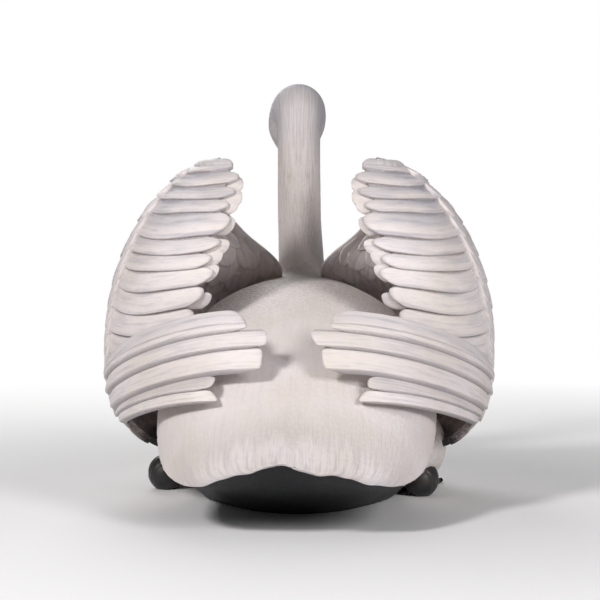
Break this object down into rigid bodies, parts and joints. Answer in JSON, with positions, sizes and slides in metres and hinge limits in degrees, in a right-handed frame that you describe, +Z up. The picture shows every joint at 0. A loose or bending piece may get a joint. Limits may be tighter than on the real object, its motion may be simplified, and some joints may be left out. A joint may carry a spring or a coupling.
{
  "type": "mute swan statue",
  "caption": "Life-size painted resin statue of a mute swan sitting with its wings raised, its neck in an S and its bill lowered.",
  "frame": {"origin": "middle of the flat underside of the trunk, on the floor", "axes": "+Z up, -Y the way the swan faces, +X towards the swan's left wing"},
  "size_m": [0.6352, 0.908, 0.6993],
  "materials": {
    "cream_paint": "cream satin paint on moulded resin, washed darker in the hollows",
    "wing_paint": "cream satin paint on moulded feathers, with a grey airbrushed haze",
    "black_paint": "black satin paint",
    "bill_paint": "orange satin paint, blacker at the nail and nostrils",
    "eye_paint": "glossy near-black"
  },
  "bodies": {
    "root": {"trunk": "cream_paint", "tail": "cream_paint", "neck_lower": "cream_paint", "neck_middle": "cream_paint", "neck_upper": "cream_paint", "head": "cream_paint", "bill_upper": "bill_paint", "bill_lower": "black_paint", "bill_knob": "black_paint", "eye_left": "eye_paint", "eye_right": "eye_paint", "wing_left": "wing_paint", "wing_left_secondaries": "wing_paint", "wing_left_primaries": "wing_paint", "wing_right": "wing_paint", "wing_right_secondaries": "wing_paint", "wing_right_primaries": "wing_paint", "thigh_left": "cream_paint", "thigh_right": "cream_paint", "heel_left": "black_paint", "heel_right": "black_paint", "foot_left": "black_paint", "foot_right": "black_paint"}
  },
  "joints": []
}
